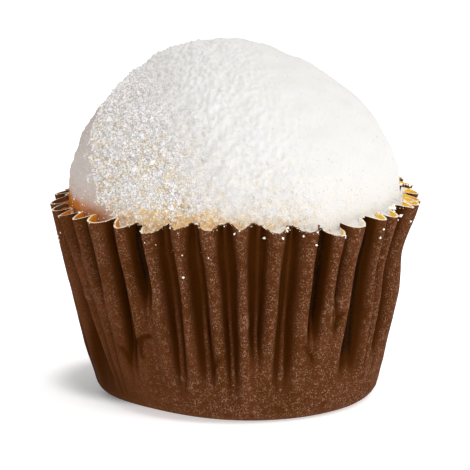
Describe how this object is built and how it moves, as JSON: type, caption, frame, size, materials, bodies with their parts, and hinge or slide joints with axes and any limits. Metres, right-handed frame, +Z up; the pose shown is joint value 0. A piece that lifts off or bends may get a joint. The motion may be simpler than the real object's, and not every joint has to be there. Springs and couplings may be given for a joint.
{
  "type": "brigadeiro",
  "caption": "Round milk sweet coated in white milk powder, sitting in a pleated brown paper case that is gold inside.",
  "frame": {"origin": "the middle of the paper case's flat base, on the surface that it stands on", "axes": "+Z up; -Y is the side that the picture shows; +X is to the viewer's right"},
  "size_m": [0.0359, 0.0361, 0.0348],
  "materials": {
    "milk_powder": "matte",
    "case_paper": "matte"
  },
  "bodies": {
    "root": {"brigadeiro_ball": "milk_powder", "paper_case": "case_paper"}
  },
  "joints": []
}
